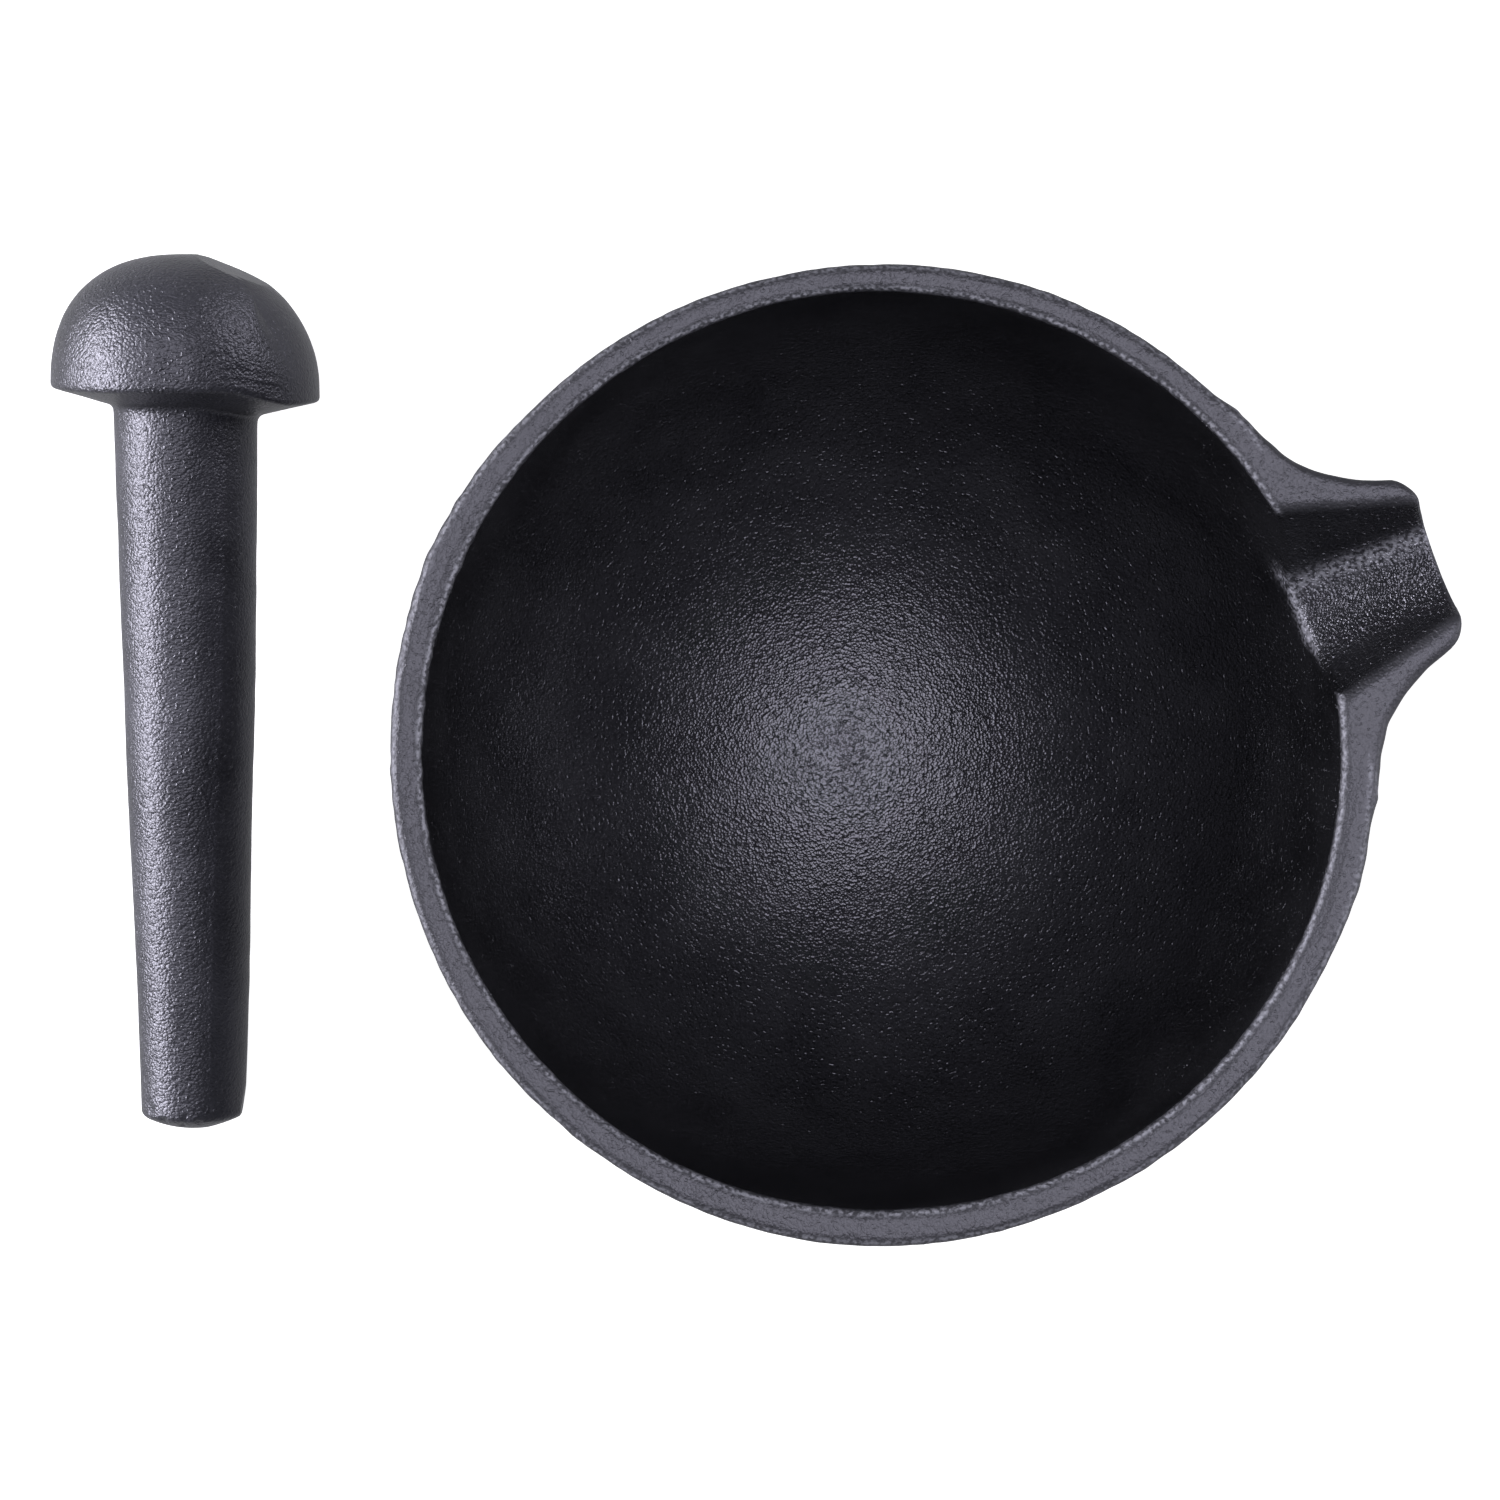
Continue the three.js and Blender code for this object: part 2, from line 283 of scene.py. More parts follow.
def closed_mesh(name, grid, first_pole, last_pole, attributes):
    """A closed smooth mesh in metres from a grid and the two points that close its ends."""
    rows, columns = grid.shape[:2]
    points = np.concatenate([grid.reshape(-1, 3), [first_pole, last_pole]]) * MM
    row, column = np.meshgrid(np.arange(rows - 1), np.arange(columns), indexing="ij")
    following = (column + 1) % columns
    corners = [
        row * columns + column,
        row * columns + following,
        (row + 1) * columns + following,
        (row + 1) * columns + column,
    ]
    quads = np.stack(corners, -1).reshape(-1, 4)
    around = np.arange(columns)
    after = (around + 1) % columns
    last_row = (rows - 1) * columns
    first_fan = np.stack([np.full(columns, rows * columns), after, around], -1)
    last_fan = np.stack([np.full(columns, rows * columns + 1), last_row + around, last_row + after], -1)
    loops = np.concatenate([quads.ravel(), first_fan.ravel(), last_fan.ravel()]).astype(np.int32)
    sizes = np.concatenate([np.full(len(quads), 4), np.full(2 * columns, 3)])
    starts = np.concatenate([[0], np.cumsum(sizes)[:-1]]).astype(np.int32)

    mesh = bpy.data.meshes.new(name)
    mesh.vertices.add(len(points))
    mesh.vertices.foreach_set("co", points.astype(np.float32).ravel())
    mesh.loops.add(len(loops))
    mesh.loops.foreach_set("vertex_index", loops)
    mesh.polygons.add(len(starts))
    mesh.polygons.foreach_set("loop_start", starts)
    mesh.update(calc_edges=True)
    mesh.validate()
    mesh.shade_smooth()
    for label, values in attributes.items():
        ends = [values[0].mean(), values[-1].mean()]
        layer = mesh.attributes.new(label, "FLOAT", "POINT")
        layer.data.foreach_set("value", np.concatenate([values.ravel(), ends]).astype(np.float32))
    piece = bpy.data.objects.new(name, mesh)
    bpy.context.scene.collection.objects.link(piece)
    return piece


# ---- the mortar's shape -----------------------------------------------------------------------------
def spout_outline():
    """The root fillet's centre and the two places along the spout where it starts and ends."""
    back = np.array([-math.cos(SPOUT_SIDE_ANGLE), math.sin(SPOUT_SIDE_ANGLE)])
    outward = np.array([math.sin(SPOUT_SIDE_ANGLE), math.cos(SPOUT_SIDE_ANGLE)])
    start = np.array([SPOUT_REACH, SPOUT_FRONT_HALF_WIDTH]) + SPOUT_ROOT_FILLET * outward
    reach = RIM_RADIUS + SPOUT_ROOT_FILLET
    along = back @ start
    centre = start + back * (-along - math.sqrt(along**2 - start @ start + reach**2))
    return centre, centre[0] * RIM_RADIUS / reach, centre[0] - SPOUT_ROOT_FILLET * outward[0]


FILLET_CENTRE, ROOT_START, ROOT_END = spout_outline()


def spout_frame(points):
    """Distances along the spout and across it."""
    x, y = points[..., 0], points[..., 1]
    cos, sin = math.cos(SPOUT_ANGLE), math.sin(SPOUT_ANGLE)
    return x * cos + y * sin, y * cos - x * sin


def outer_wall(points):
    radius = np.hypot(points[..., 0], points[..., 1])
    height = points[..., 2] - (MORTAR_HEIGHT - STRAIGHT_WALL)
    level = np.hypot(radius / RIM_RADIUS, height / OUTER_DEPTH)
    slope = np.hypot(radius / RIM_RADIUS**2, height / OUTER_DEPTH**2)
    return np.where(height > 0, radius - RIM_RADIUS, level * (level - 1) / slope)


def spout_body(points):
    """The spout turned about its own level axis, with straight sides and a sweeping root."""
    along, across = spout_frame(points)
    from_axis = np.hypot(across, points[..., 2] - MORTAR_HEIGHT)
    tangent = math.tan(SPOUT_SIDE_ANGLE)
    on_side = SPOUT_FRONT_HALF_WIDTH + (SPOUT_REACH - along) * tangent
    offset = np.clip(along, ROOT_START, ROOT_END) - FILLET_CENTRE[0]
    drop = np.sqrt(SPOUT_ROOT_FILLET**2 - offset**2)
    half = np.where(along > ROOT_END, on_side, FILLET_CENTRE[1] - drop)
    slope = np.where(along > ROOT_END, tangent, -offset / drop)
    side = (from_axis - half) / np.hypot(1, slope)
    body = round_cut(side, along - SPOUT_REACH, SPOUT_CORNER_ROUNDING)
    return np.maximum(body, SPOUT_INNER_END - along)


def channel_faces(points):
    """How far points are past the channel's walls and floor, its half width, and their place along."""
    along, across = spout_frame(points)
    behind = SPOUT_REACH - along
    half = CHANNEL_FRONT_HALF_WIDTH + CHANNEL_WIDENING * behind
    drop = points[..., 2] - MORTAR_HEIGHT
    lean_back = np.where(across > 0, CHANNEL_UPPER_WALL_ANGLE, CHANNEL_LOWER_WALL_ANGLE)
    wall = (np.abs(across) - half) * np.sin(lean_back) - drop * np.cos(lean_back)
    floor = -(drop + CHANNEL_FRONT_DEPTH + CHANNEL_FLOOR_LEAN * across + CHANNEL_FLOOR_SLOPE * behind)
    return wall, floor / math.hypot(1, CHANNEL_FLOOR_SLOPE), half, along


def channel(points):
    """The open channel through the spout, negative in the air."""
    wall, floor, half, along = channel_faces(points)
    section = round_cut(wall, floor, half * CHANNEL_FLOOR_ROUNDING)
    return np.maximum(section, CHANNEL_INNER_END - along)


def channel_height(points, halvings=22):
    """The height of the rim's top, or of the channel where it is cut, by halving."""
    probe = np.array(points)
    high = np.full(points.shape[:-1], float(MORTAR_HEIGHT))
    low = high - 2 * BOWL_RADIUS
    probe[..., 2] = high
    cut = channel(probe) < 0
    for _ in range(halvings):
        probe[..., 2] = (low + high) / 2
        air = channel(probe) < 0
        low, high = np.where(air, low, probe[..., 2]), np.where(air, probe[..., 2], high)
    return np.where(cut, high, MORTAR_HEIGHT)


def bowl_centre():
    return np.array([0, BOWL_SHIFT, MORTAR_HEIGHT])


def hollow(points):
    return BOWL_RADIUS - np.linalg.norm(points - bowl_centre(), axis=-1)


def mortar_solid(points):
    outside = round_join(outer_wall(points), spout_body(points), SPOUT_WALL_FILLET)
    topped = round_cut(outside, points[..., 2] - MORTAR_HEIGHT, RIM_OUTER_ROUNDING)
    hollowed = round_cut(topped, hollow(points), RIM_INNER_ROUNDING)
    return round_cut(hollowed, -channel(points), CHANNEL_EDGE_ROUNDING)


def edge_wear(points):
    """One where a sharp edge has been rounded away, nothing on the faces between the edges."""
    outside = np.minimum(outer_wall(points), spout_body(points))
    faces = np.maximum(outside, points[..., 2] - MORTAR_HEIGHT)
    sharp = np.maximum(np.maximum(faces, hollow(points)), -channel(points))
    rounded_away = smoothstep(*EDGE_WEAR_DEPTHS, mortar_solid(points) - sharp)
    return rounded_away * (np.abs(outside) < EDGE_WEAR_BAND)


def painted_highlight_lines(points):
    """Painted highlight: one along the foot of the channel's +Y wall and its floor's edge, less round the
    rim's edges.
    """
    wall, floor, _, along = channel_faces(points)
    foot = line_at(wall - floor, *FOOT_LINE) * (spout_frame(points)[1] > 0)
    near_floor = line_at(floor, *FLOOR_LINE) * (along > CHANNEL_INNER_END)
    lip = line_at(hollow(points), *LIP_LINE) * smoothstep(0, -1.2, wall)
    inner = INNER_EDGE_HIGHLIGHT * line_at(np.abs(hollow(points)), *RIM_LINE)
    outer = OUTER_EDGE_HIGHLIGHT * line_at(np.abs(outer_wall(points)), *RIM_LINE)
    at_top = smoothstep(MORTAR_HEIGHT - 2.2, MORTAR_HEIGHT - 1, points[..., 2])
    behind_spout = along < SPOUT_START
    return np.maximum(np.maximum(foot, lip) * near_floor, np.maximum(inner, outer) * at_top * behind_spout)


def from_bowl_centre(angles, dip, reach):
    """Points seen from the bowl's centre at some dip below level, at given distances."""
    level = reach * np.cos(dip)
    height = MORTAR_HEIGHT - reach * np.sin(dip)
    return np.stack([level * np.cos(angles), level * np.sin(angles), height], -1)


def outer_reach(angles, dip, nearest=60.0, farthest=110.0, halvings=24):
    """How far the outer surface is from the bowl's centre, by halving."""
    near = np.full(np.broadcast(angles, dip).shape, nearest)
    far = np.full(near.shape, farthest)
    for _ in range(halvings):
        middle = (near + far) / 2
        points = from_bowl_centre(angles, dip, middle)
        inside = np.minimum(outer_wall(points), spout_body(points)) < 0
        near, far = np.where(inside, middle, near), np.where(inside, far, middle)
    return (near + far) / 2


def first_dip_below_top(angles, reach_at, steepest=20, steps=500):
    """For each direction, the smallest dip at which a surface is under the rim's top or the channel."""
    dips = np.radians(np.linspace(0, steepest, steps))[:, None]
    points = from_bowl_centre(angles[None, :], dips, reach_at(angles[None, :], dips))
    under = points[..., 2] <= channel_height(points) + 1e-9
    return dips[np.argmax(under, axis=0), 0]


def foot_rows(angles):
    """Rings from under the foot, over its edge and waist, to the bottom of the bowl's wall."""
    edge = np.linspace(-math.pi / 2, 0, 5)
    ring = FOOT_RADIUS - FOOT_EDGE_ROUNDING
    section = [(12, 0), (25, 0), (35, 0)]
    section += [
        (ring + FOOT_EDGE_ROUNDING * math.cos(a), FOOT_EDGE_ROUNDING * (1 + math.sin(a))) for a in edge
    ]
    for share in (1 / 3, 2 / 3):
        radius = FOOT_RADIUS + (FOOT_WAIST_RADIUS - FOOT_RADIUS) * share
        section.append((radius, FOOT_EDGE_ROUNDING + (FOOT_WAIST_HEIGHT - FOOT_EDGE_ROUNDING) * share))
    top_cos = FOOT_FILLET_RADIUS / RIM_RADIUS
    top_sin = math.sqrt(1 - top_cos**2)
    top = MORTAR_HEIGHT - STRAIGHT_WALL - OUTER_DEPTH * top_sin
    slope = OUTER_DEPTH * top_cos / (RIM_RADIUS * top_sin)
    bend = top - (FOOT_FILLET_RADIUS - FOOT_WAIST_RADIUS) * slope
    for share in np.arange(8) / 8:
        low, mid, high = (1 - share) ** 2, 2 * share * (1 - share), share**2
        radius = (low + mid) * FOOT_WAIST_RADIUS + high * FOOT_FILLET_RADIUS
        section.append((radius, low * FOOT_WAIST_HEIGHT + mid * bend + high * top))
    around = np.stack([np.cos(angles), np.sin(angles)], -1)
    rings = [np.column_stack([r * around, np.full(len(angles), z)]) for r, z in section]
    return np.stack(rings), math.atan2(MORTAR_HEIGHT - top, FOOT_FILLET_RADIUS)


def mortar_grid(columns=600, wall_rows=50, top_rows=26, bowl_rows=67):
    """Rows from under the foot, up the outside, over the rim or along the channel, and down inside."""
    angles = crowded_angles(columns, 0.75, math.radians(25)) + SPOUT_ANGLE
    foot, foot_dip = foot_rows(angles)

    top_dip = first_dip_below_top(angles, outer_reach)
    share = graded(wall_rows, 0.2, 6)[::-1, None]
    wall_dip = top_dip + (foot_dip - top_dip) * share
    wall = from_bowl_centre(angles[None, :], wall_dip, outer_reach(angles[None, :], wall_dip))

    def bowl_reach(directions, dips):
        return np.full(np.broadcast(directions, dips).shape, float(BOWL_RADIUS))

    inner_dip = first_dip_below_top(angles, bowl_reach)
    share = graded(bowl_rows, 0.2, 6)[:-1, None]
    bowl_dip = inner_dip + (math.pi / 2 - inner_dip) * share
    bowl = from_bowl_centre(angles[None, :], bowl_dip, bowl_reach(angles[None, :], bowl_dip))

    share = graded_both_ends(top_rows, 0.35, 3)[1:-1, None, None]
    top = wall[-1] + (bowl[0] - wall[-1]) * share
    top[..., 2] = channel_height(top)
    cast = settle_on(np.concatenate([wall, top, bowl]), mortar_solid)
    return np.concatenate([foot, cast])


def bump_round(angle, middle, spread):
    """A smooth bump in the angle round the bowl, given in degrees."""
    away = np.mod(np.degrees(angle) - middle + 180, 360) - 180
    return np.exp(-((away / spread) ** 2))


def outside_rim(grid):
    """One on the outer wall, falling to nothing across the rim's top."""
    return smoothstep(RIM_RADIUS - 3.6, RIM_RADIUS - 1.2, np.hypot(grid[..., 0], grid[..., 1]))


def mortar_piece():
    grid = mortar_grid()
    normals = grid_normals(grid)
    worn = edge_wear(grid) * smoothstep(MORTAR_HEIGHT - 20, MORTAR_HEIGHT - 12, grid[..., 2])
    rim_top = smoothstep(MORTAR_HEIGHT - 2, MORTAR_HEIGHT - 0.6, grid[..., 2])
    worn = np.maximum(worn, RIM_TOP_WEAR * rim_top)
    # Painted highlight lines along the channel's creases, the lip and the rim's edges.
    highlight_paint = painted_highlight_lines(grid)
    height = grid[..., 2]
    above_table = smoothstep(0.3, 4, height)
    angle = np.arctan2(grid[..., 1], grid[..., 0])
    near_rim = smoothstep(MORTAR_HEIGHT - 9, MORTAR_HEIGHT - 1, height)

    swell = swelling(grid, MORTAR_LUMPS)
    roughness = RIM_ROUGHNESS + ROUGH_SIDE_ROUGHNESS * bump_round(angle, *ROUGH_SIDE)
    rough_rim = near_rim * roughness * lumps(grid, *RIM_LUMPS)
    out_of_round = sum(size * bump_round(angle, middle, spread) for middle, spread, size in RIM_SWELLINGS)
    swell += out_of_round * smoothstep(MORTAR_HEIGHT - 26, MORTAR_HEIGHT - 2, height) * outside_rim(grid)
    grid = grid + ((swell - MORTAR_SKIN_DRAW + rough_rim) * above_table)[..., None] * normals

    grid = np.clip(grid, mortar_low, mortar_high)
    last_pole = bowl_centre() - [0, 0, BOWL_RADIUS + 0.1]
    last_pole[2] = grid[-1, :, 2].mean()
    # The second attribute carries the painted highlight lines.
    return closed_mesh("mortar_casting", grid, [0, 0, 0], last_pole, {"worn": worn, "highlight_paint": highlight_paint})


# ---- the pestle's shape -----------------------------------------------------------------------------
def stem_radius(along):
    return STEM_TAIL_RADIUS + STEM_TAPER * along - STEM_NECKING * smoothstep(104, 120, along)


def mould_half(rim, neck, dome_base, dome_height, bulge, rounding):
    """One mould half's section as (radius, distance along) rows, from the tail's tip to the dome's top."""
    tail_radius = (STEM_TAIL_RADIUS - TAIL_EDGE_ROUNDING) * graded(14, 0.6, 3)[1:]
    tail = np.stack([tail_radius, TAIL_CROWN * (tail_radius / (STEM_TAIL_RADIUS - 0.1)) ** 2.2], -1)
    turn = np.linspace(0, 1, 7)[1:, None]
    shoulder = np.array([stem_radius(TAIL_EDGE_HEIGHT), TAIL_EDGE_HEIGHT])
    corner = np.array([shoulder[0] - 0.05, tail[-1][1] + 0.5])
    edge = (1 - turn) ** 2 * tail[-1] + 2 * turn * (1 - turn) * corner + turn**2 * shoulder

    along = TAIL_EDGE_HEIGHT + (neck - rounding - TAIL_EDGE_HEIGHT) * np.linspace(0, 1, 215)[1:]
    stem = np.stack([stem_radius(along), along], -1)
    out = np.array([HEAD_RADIUS - STEM_NECK_RADIUS, rim - neck])
    out /= np.linalg.norm(out)
    turn = np.linspace(0, 1, 6)[1:, None]
    bend = np.array([stem[-1][0], neck])
    throat = (1 - turn) ** 2 * stem[-1] + 2 * turn * (1 - turn) * bend + turn**2 * (bend + rounding * out)

    edge_start = np.array([HEAD_RADIUS, rim]) - HEAD_EDGE_ROUNDING * out
    share = np.linspace(0, 1, 17)[1:, None]
    underside = throat[-1] + (edge_start - throat[-1]) * share
    edge_end = np.array([HEAD_RADIUS, rim + HEAD_EDGE_ROUNDING])
    turn = np.linspace(0, 1, 6)[1:, None]
    lip = (1 - turn) ** 2 * edge_start + 2 * turn * (1 - turn) * np.array([HEAD_RADIUS, rim])
    lip += turn**2 * edge_end

    start = math.asin((max(edge_end[1] - dome_base, 0) / dome_height) ** (bulge / 2))
    angle = start + (math.pi / 2 - start) * graded(75, 0.45, 12)[1:-1]
    radius = HEAD_RADIUS * np.cos(angle) ** (2 / bulge)
    dome = np.stack([radius, dome_base + dome_height * np.sin(angle) ** (2 / bulge)], -1)
    return np.concatenate([tail, edge, stem, throat, underside, lip, dome])


def pestle_frame():
    """The tail's tip, the axis, and the directions across it, level and upward."""
    lean = math.atan2(HEAD_RADIUS - TAIL_REST_RADIUS, PESTLE_LENGTH - HEAD_RADIUS - TAIL_EDGE_HEIGHT)
    tip_height = TAIL_REST_RADIUS * math.cos(lean) - TAIL_EDGE_HEIGHT * math.sin(lean)
    tip = np.array([PESTLE_X, PESTLE_TAIL_Y, tip_height])
    axis = np.array([0, math.cos(lean), math.sin(lean)])
    upward = np.array([0, -math.sin(lean), math.cos(lean)])
    return tip, axis, np.array([1.0, 0, 0]), upward


def pestle_piece():
    tip, axis, level, upward = pestle_frame()
    one, two = mould_half(**FIRST_HALF), mould_half(**SECOND_HALF)
    middle = ((one + two) / 2)[:, 1][:, None]

    # The parting line leans over the stem; turn is the angle from it towards the second half.
    parting = np.radians(PARTING_ANGLE + PARTING_LEAN * smoothstep(*LEAN_STRETCH, middle))
    turn = crowded_angles(200, 1.6, math.radians(24))[None, :]
    angle = parting + turn
    on_dome = smoothstep(*DOME_STRETCH, middle)
    near_lip = smoothstep(*LIP_STRETCHES[0], middle) * smoothstep(*LIP_STRETCHES[1], middle)
    past_parting = ((one + two) / 2)[:, :1] * np.sin(turn) - DOME_PARTING_SHIFT * on_dome
    second = smoothstep(-1, 1, past_parting / (PARTING_BLEND + PARTING_BLEND_AT_LIP * near_lip))
    radius = one[:, :1] + (two[:, :1] - one[:, :1]) * second
    along = one[:, 1:] + (two[:, 1:] - one[:, 1:]) * second
    on_stem = smoothstep(*RIDGE_STRETCHES[0], along) * smoothstep(*RIDGE_STRETCHES[1], along)
    radius = radius + PARTING_RIDGE * line_at(turn, 0, PARTING_RIDGE_SPREAD) * on_stem

    across = radius[..., None] * (np.sin(angle)[..., None] * level + np.cos(angle)[..., None] * upward)
    grid = tip + along[..., None] * axis + across
    for flat in FLATS:
        grid = flatten(grid, tip, (level, axis, upward), *flat)
    normals = grid_normals(grid)
    on_head = smoothstep(*HEAD_STRETCH, along)
    swell = swelling(grid, PESTLE_LUMPS)
    relief = mould_folds(angle, along) + marks(grid, tip, axis, level, upward)
    grid = grid + (swell * (1 - 0.3 * on_head) - PESTLE_SKIN_DRAW + relief)[..., None] * normals
    grid = np.clip(grid, pestle_low, pestle_high)
    poles = [grid[0].mean(axis=0), grid[-1].mean(axis=0)]
    attributes = {"second_half": second * np.ones_like(along)}
    return closed_mesh("pestle_casting", grid, poles[0], poles[1], attributes)


# Flats beside the dome's top and at the tail: the way each faces and a point on it, as (across, along,
# upward) from the tail's tip.
FLATS = (
    ((0.4, 0.917, 0.03), (2.9, 144.0, 0)),
    ((0.3, -0.95, 0), (1.4, 0.05, 0)),
    ((0.985, -0.17, 0), (8.75, 6.7, 0)),
)


def flatten(grid, tip, directions, facing, through):
    """Cuts the grid back to a plane, as a flat ground or knocked onto the casting."""
    directions = np.stack(directions)
    normal = facing @ directions / np.linalg.norm(facing)
    above = (grid - tip - through @ directions) @ normal
    return grid - np.maximum(above, 0)[..., None] * normal


# Small marks on the pestle's upper side: place as (across, along), size and depth, negative for a pimple.
MARKS = (
    (0.0, 138.3, 0.42, -0.3),
    (-6.6, 3.9, 0.5, 0.4),
    (-7.2, 5.3, 0.35, 0.25),
    (-4.3, 2.3, 0.6, 0.4),
    (-1.2, 1.4, 0.45, 0.45),
    (-0.5, 3.0, 0.6, 0.3),
    (1.6, 2.2, 0.5, 0.25),
    (3.4, 4.6, 0.7, 0.2),
)


def marks(grid, tip, axis, level, upward):
    """The dents and pimples as a height over the surface."""
    from_tip = grid - tip
    across, along, above = from_tip @ level, from_tip @ axis, from_tip @ upward
    total = np.zeros(across.shape)
    for mark_across, mark_along, size, depth in MARKS:
        away = np.hypot(across - mark_across, along - mark_along)
        total -= depth * np.exp(-((away / size) ** 2))
    return total * (above > 0)


def mould_folds(angle, along):
    """Shallow wrinkles above the head's rim, where the two mould halves meet out of line."""
    degrees = np.degrees(angle)
    window = smoothstep(14, 26, degrees) * smoothstep(60, 44, degrees)
    total = np.zeros(np.broadcast(angle, along).shape)
    for start, depth in FOLDS:
        line = start - 0.065 * (degrees - 18)
        total -= depth * np.exp(-(((along - line) / 0.45) ** 2))
    return total * window


# ---- materials --------------------------------------------------------------------------------------
def new_material(name):
    material = bpy.data.materials.new(name)
    material.use_nodes = True
    nodes = material.node_tree.nodes
    nodes.clear()
    output = nodes.new("ShaderNodeOutputMaterial")
    shader = nodes.new("ShaderNodeBsdfPrincipled")
    material.node_tree.links.new(shader.outputs["BSDF"], output.inputs["Surface"])
    return material, shader


class Wiring:
    """Short calls for adding nodes to one material."""

    def __init__(self, material):
        self.tree = material.node_tree
        self.place = self.node("ShaderNodeTexCoord").outputs["Object"]

    def node(self, kind, **settings):
        made = self.tree.nodes.new(kind)
        for key, value in settings.items():
            setattr(made, key, value)
        return made

    def feed(self, socket, value):
        if isinstance(value, bpy.types.NodeSocket):
            self.tree.links.new(value, socket)
        else:
            socket.default_value = value

    def noise(self, size, detail=2.0):
        """Noise with features of about `size` millimetres."""
        made = self.node("ShaderNodeTexNoise")
        self.feed(made.inputs["Vector"], self.place)
        made.inputs["Scale"].default_value = 1 / (size * MM)
        made.inputs["Detail"].default_value = detail
        return made.outputs["Fac"]

    def nudge(self, size, reach):
        """A small random shift in every direction, in millimetres."""
        made = self.node("ShaderNodeTexNoise")
        self.feed(made.inputs["Vector"], self.place)
        made.inputs["Scale"].default_value = 1 / (size * MM)
        centred = self.node("ShaderNodeVectorMath", operation="SUBTRACT")
        self.feed(centred.inputs[0], made.outputs["Color"])
        centred.inputs[1].default_value = (0.5, 0.5, 0.5)
        scaled = self.node("ShaderNodeVectorMath", operation="SCALE")
        self.feed(scaled.inputs[0], centred.outputs[0])
        scaled.inputs["Scale"].default_value = 2 * reach * MM
        return scaled.outputs[0]

    def cells(self, size, smoothness, where):
        """Distance from the middle of rounded cells of about `size` millimetres."""
        made = self.node("ShaderNodeTexVoronoi", feature="SMOOTH_F1")
        self.feed(made.inputs["Vector"], where)
        made.inputs["Scale"].default_value = 1 / (size * MM)
        made.inputs["Smoothness"].default_value = smoothness
        return made.outputs["Distance"]

    def math(self, operation, first, second):
        made = self.node("ShaderNodeMath", operation=operation)
        self.feed(made.inputs[0], first)
        self.feed(made.inputs[1], second)
        return made.outputs[0]

    def spread(self, value, from_low, from_high, to_low, to_high):
        made = self.node("ShaderNodeMapRange")
        for index, item in enumerate((value, from_low, from_high, to_low, to_high)):
            self.feed(made.inputs[index], item)
        return made.outputs["Result"]

    def colour(self, factor, first, second):
        made = self.node("ShaderNodeMix", data_type="RGBA")
        self.feed(made.inputs["Factor"], factor)
        for socket, tint in ((made.inputs[6], first), (made.inputs[7], second)):
            self.feed(socket, (*tint, 1) if isinstance(tint, tuple) else tint)
        return made.outputs[2]

    def attribute(self, name):
        return self.node("ShaderNodeAttribute", attribute_name=name).outputs["Fac"]

    def bump(self, height, depth, strength, below=None):
        made = self.node("ShaderNodeBump")
        self.feed(made.inputs["Strength"], strength)
        made.inputs["Distance"].default_value = depth * MM
        self.feed(made.inputs["Height"], height)
        if below is not None:
            self.feed(made.inputs["Normal"], below)
        return made.outputs["Normal"]


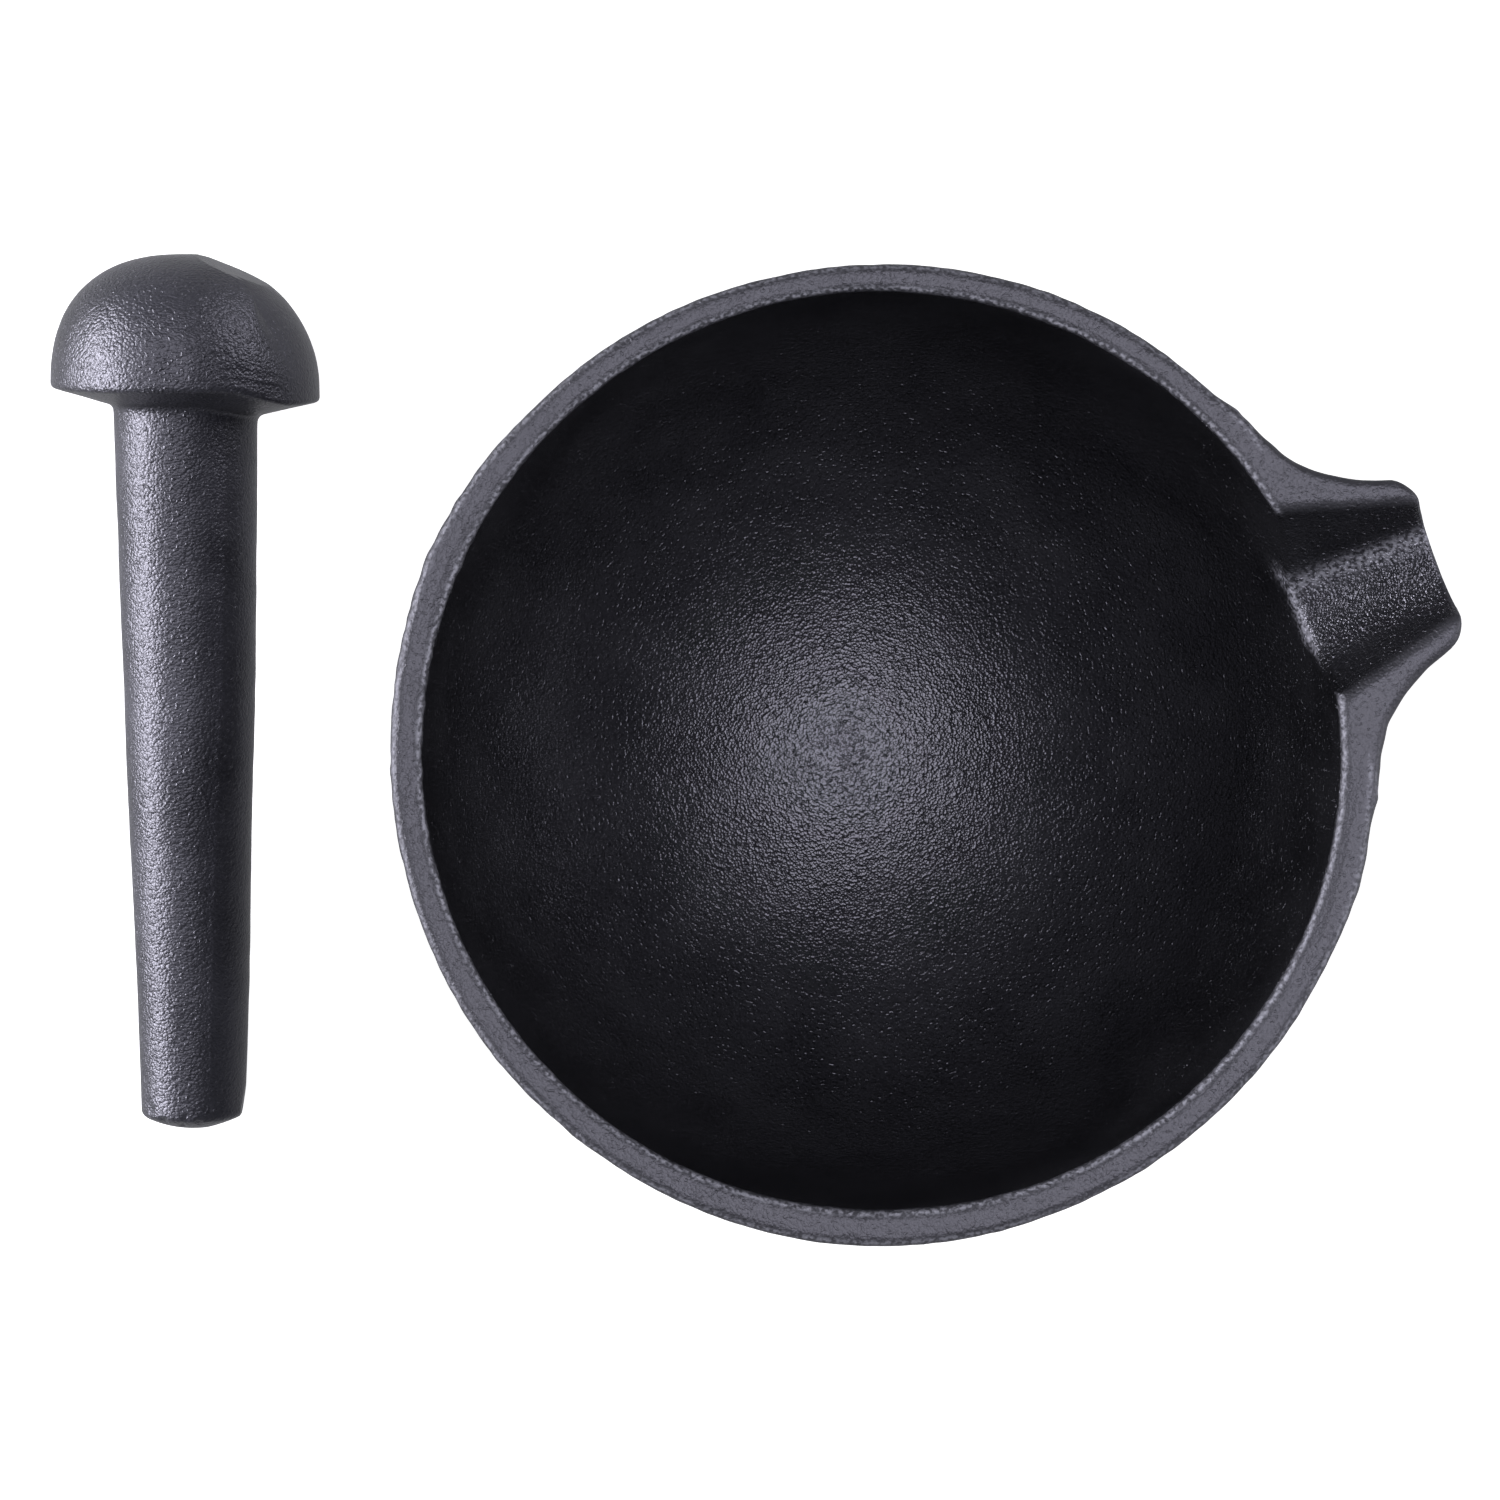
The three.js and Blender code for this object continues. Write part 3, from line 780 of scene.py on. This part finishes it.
def seasoned_iron(name, dark, light, grain, depth, roughness, lay=1.0, masks=()):
    """Black seasoned cast iron: an orange-peel skin from the sand mould under a thin satin oil film."""
    material, shader = new_material(name)
    wire = Wiring(material)
    shader.inputs["Specular Tint"].default_value = (0.86, 0.85, 1.0, 1)
    shader.inputs["IOR"].default_value = 1.5

    # Rounded sand grains with narrow crevices between them, under a fine tooth and a little sharp grit.
    laid = wire.node("ShaderNodeMapping", vector_type="POINT")
    wire.feed(laid.inputs["Vector"], wire.place)
    laid.inputs["Rotation"].default_value = (0, 0, -math.pi / 4)
    laid.inputs["Scale"].default_value = (1 / lay, 1, 1)
    warp = wire.node("ShaderNodeVectorMath", operation="ADD")
    wire.feed(warp.inputs[0], laid.outputs["Vector"])
    wire.feed(warp.inputs[1], wire.nudge(grain * 2.2, 0.16 * grain))
    grains = wire.cells(grain * 1.05, smoothness=0.28, where=warp.outputs[0])
    clumps = wire.cells(grain * 2.3, smoothness=0.5, where=warp.outputs[0])
    rounded = wire.math("POWER", grains, 1.6)
    skin = wire.math("ADD", wire.math("MULTIPLY", rounded, -1.0), wire.math("MULTIPLY", clumps, -0.55))
    blotches = wire.noise(BLOTCH_SIZE, detail=2.0)
    peel = wire.noise(grain * 1.3, detail=1.0)
    strength = wire.spread(wire.noise(PATCH_SIZE, detail=2.0), 0.3, 0.7, 0.85, 1.0)
    if "second_half" in masks:
        calm = wire.spread(wire.attribute("second_half"), 0, 1, 1, SECOND_HALF_CALM)
        strength = wire.math("MULTIPLY", strength, calm)
    if "worn" in masks:
        worn = wire.attribute("worn")
        strength = wire.math("MULTIPLY", strength, wire.spread(worn, 0, 1, 1, WORN_CALM))
    normal = wire.bump(skin, depth, strength=strength)
    fine = wire.noise(grain * 0.4, detail=1.0)
    normal = wire.bump(fine, depth * 0.22, strength=strength, below=normal)
    grit = wire.spread(wire.noise(GRIT_SIZE, detail=0.0), 0.62, 0.74, 0, 1)
    normal = wire.bump(grit, GRIT_DEPTH, strength=strength, below=normal)
    wire.feed(shader.inputs["Normal"], normal)

    tone = wire.math("ADD", wire.math("MULTIPLY", blotches, 0.6), wire.math("MULTIPLY", peel, 0.4))
    film = wire.colour(wire.spread(tone, 0.35, 0.65, 0, 1), dark, light)
    if "worn" in masks:
        lighter = tuple(WORN_LIGHTENING * part for part in light)
        film = wire.colour(wire.math("MULTIPLY", worn, tone), film, lighter)
    # Painted highlight: a light grey painted along the highlight lines, broken up by noise.
    if "highlight_paint" in masks:
        flecks = wire.spread(wire.noise(FLECK_SIZE, detail=1.0), 0.4, 0.62, 0.1, 1)
        film = wire.colour(wire.math("MULTIPLY", wire.attribute("highlight_paint"), flecks), film, PAINTED_HIGHLIGHT_GREY)
    wire.feed(shader.inputs["Base Color"], film)
    gloss = wire.math("ADD", wire.math("MULTIPLY", blotches, 0.5), wire.math("MULTIPLY", fine, 0.5))
    satin = wire.spread(gloss, 0.3, 0.7, roughness - 0.04, roughness + 0.04)
    if "worn" in masks:
        satin = wire.math("ADD", satin, wire.math("MULTIPLY", worn, WORN_ROUGHENING))
    wire.feed(shader.inputs["Roughness"], satin)
    return material


def floor_material(name, glow):
    material, shader = new_material(name)
    shader.inputs["Base Color"].default_value = (0.85, 0.85, 0.85, 1)
    shader.inputs["Roughness"].default_value = 0.9
    shader.inputs["Specular IOR Level"].default_value = 0.1
    shader.inputs["Emission Color"].default_value = (1, 1, 1, 1)
    shader.inputs["Emission Strength"].default_value = glow
    return material


# ---- stage, in metres -------------------------------------------------------------------------------
SHEET_HALF_WIDTH = 4.0
FLOOR_LEVEL = -0.0002
FLOOR_GLOW = 0.9
TABLE_LEVEL = -0.0004
TABLE_GLOW = 0.25
BACKDROP_RADIUS = 8
BACKDROP_GLOW = 1.0
CAMERA_PLACE = (-0.02002, 0.00062, 0.9)
CAMERA_LENS = 129.1
LIGHT_TARGET = (-0.02, 0, 0.05)
WORLD_STRENGTH = 0.3


def floor_sheet(name, level, material):
    size = SHEET_HALF_WIDTH
    mesh = bpy.data.meshes.new(name)
    corners = [(-size, -size, 0), (size, -size, 0), (size, size, 0), (-size, size, 0)]
    mesh.from_pydata(corners, [], [(0, 1, 2, 3)])
    mesh.materials.append(material)
    sheet = bpy.data.objects.new(name, mesh)
    sheet.location.z = level
    bpy.context.scene.collection.objects.link(sheet)
    return sheet


def make_floor():
    """A pale sheet that the camera sees, over a plain one that the iron reflects."""
    floor = floor_sheet("floor", FLOOR_LEVEL, floor_material("pale_floor", FLOOR_GLOW))
    floor.visible_glossy = False
    floor.visible_diffuse = False
    table = floor_sheet("table", TABLE_LEVEL, floor_material("pale_table", TABLE_GLOW))
    table.visible_camera = False
    return table


def make_backdrop():
    """A pale dome round everything, seen by the camera only."""
    bpy.ops.mesh.primitive_uv_sphere_add(segments=48, ring_count=24, radius=BACKDROP_RADIUS)
    dome = bpy.context.object
    dome.name = "backdrop"
    dome.data.materials.append(floor_material("pale_backdrop", BACKDROP_GLOW))
    for ray in ("visible_diffuse", "visible_glossy", "visible_shadow", "visible_transmission"):
        setattr(dome, ray, False)


def make_camera():
    """Straight above, far enough for the rim and the lower-lying pestle to scale as they should."""
    data = bpy.data.cameras.new("camera")
    data.sensor_width = 36
    data.lens = CAMERA_LENS
    camera = bpy.data.objects.new("camera", data)
    camera.location = CAMERA_PLACE
    bpy.context.scene.collection.objects.link(camera)
    bpy.context.scene.camera = camera


def soft_light(name, turn, rise, distance, size, power, only=None):
    """A rectangular softbox that faces the set from a direction, in degrees round from +X and up."""
    data = bpy.data.lights.new(name, "AREA")
    data.shape = "RECTANGLE"
    data.size, data.size_y = size
    data.energy = power
    data.color = (0.97, 0.96, 1.0)
    light = bpy.data.objects.new(name, data)
    target = Vector(LIGHT_TARGET)
    turn, rise = math.radians(turn), math.radians(rise)
    towards = (math.cos(turn) * math.cos(rise), math.sin(turn) * math.cos(rise), math.sin(rise))
    light.location = target + Vector(towards) * distance
    light.rotation_euler = (target - light.location).to_track_quat("-Z", "Y").to_euler()
    light.visible_camera = False
    bpy.context.scene.collection.objects.link(light)
    if only:
        flags = light.light_linking.receiver_collection = bpy.data.collections.new(name + "_receivers")
        for obj in only:
            flags.objects.link(obj)


def make_lights(mortar, pestle, table):
    """Softboxes over and round the set. Most are flagged to reach one casting or only the table."""
    soft_light("mortar_overhead", -3, 81.5, 1.3, (1.1, 1.1), 29, only=(mortar,))
    soft_light("pestle_overhead", 135, 70, 1.0, (0.8, 0.8), 6.5, only=(pestle,))
    soft_light("left_low", 174, 9, 1.0, (0.9, 0.3), 26)
    soft_light("left", 178, 26, 1.0, (0.9, 0.35), 9, only=(pestle,))
    soft_light("right", 0, 12, 1.0, (0.9, 0.35), 7, only=(mortar,))
    soft_light("back", 40, 22, 1.0, (0.9, 0.35), 7.5, only=(pestle,))
    soft_light("table_left", 175, 30, 1.0, (0.9, 0.35), 70, only=(table,))
    soft_light("table_right", 20, 30, 1.0, (0.9, 0.35), 60, only=(table,))


def make_world():
    world = bpy.data.worlds.new("studio")
    world.use_nodes = True
    background = world.node_tree.nodes["Background"]
    background.inputs["Color"].default_value = (0.9, 0.92, 1.0, 1)
    background.inputs["Strength"].default_value = WORLD_STRENGTH
    bpy.context.scene.world = world


def main():
    mortar = mortar_piece()
    mortar.data.materials.append(seasoned_iron("mortar_iron", **MORTAR_LOOK))
    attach(mortar, "mortar_body")
    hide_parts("mortar")

    pestle = pestle_piece()
    pestle.data.materials.append(seasoned_iron("pestle_iron", **PESTLE_LOOK))
    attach(pestle, "pestle_body")
    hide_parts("pestle")

    table = make_floor()
    make_backdrop()
    make_camera()
    make_lights(mortar, pestle, table)
    make_world()
    bpy.context.scene.view_settings.view_transform = "Standard"


main()
bpy.context.view_layer.update()
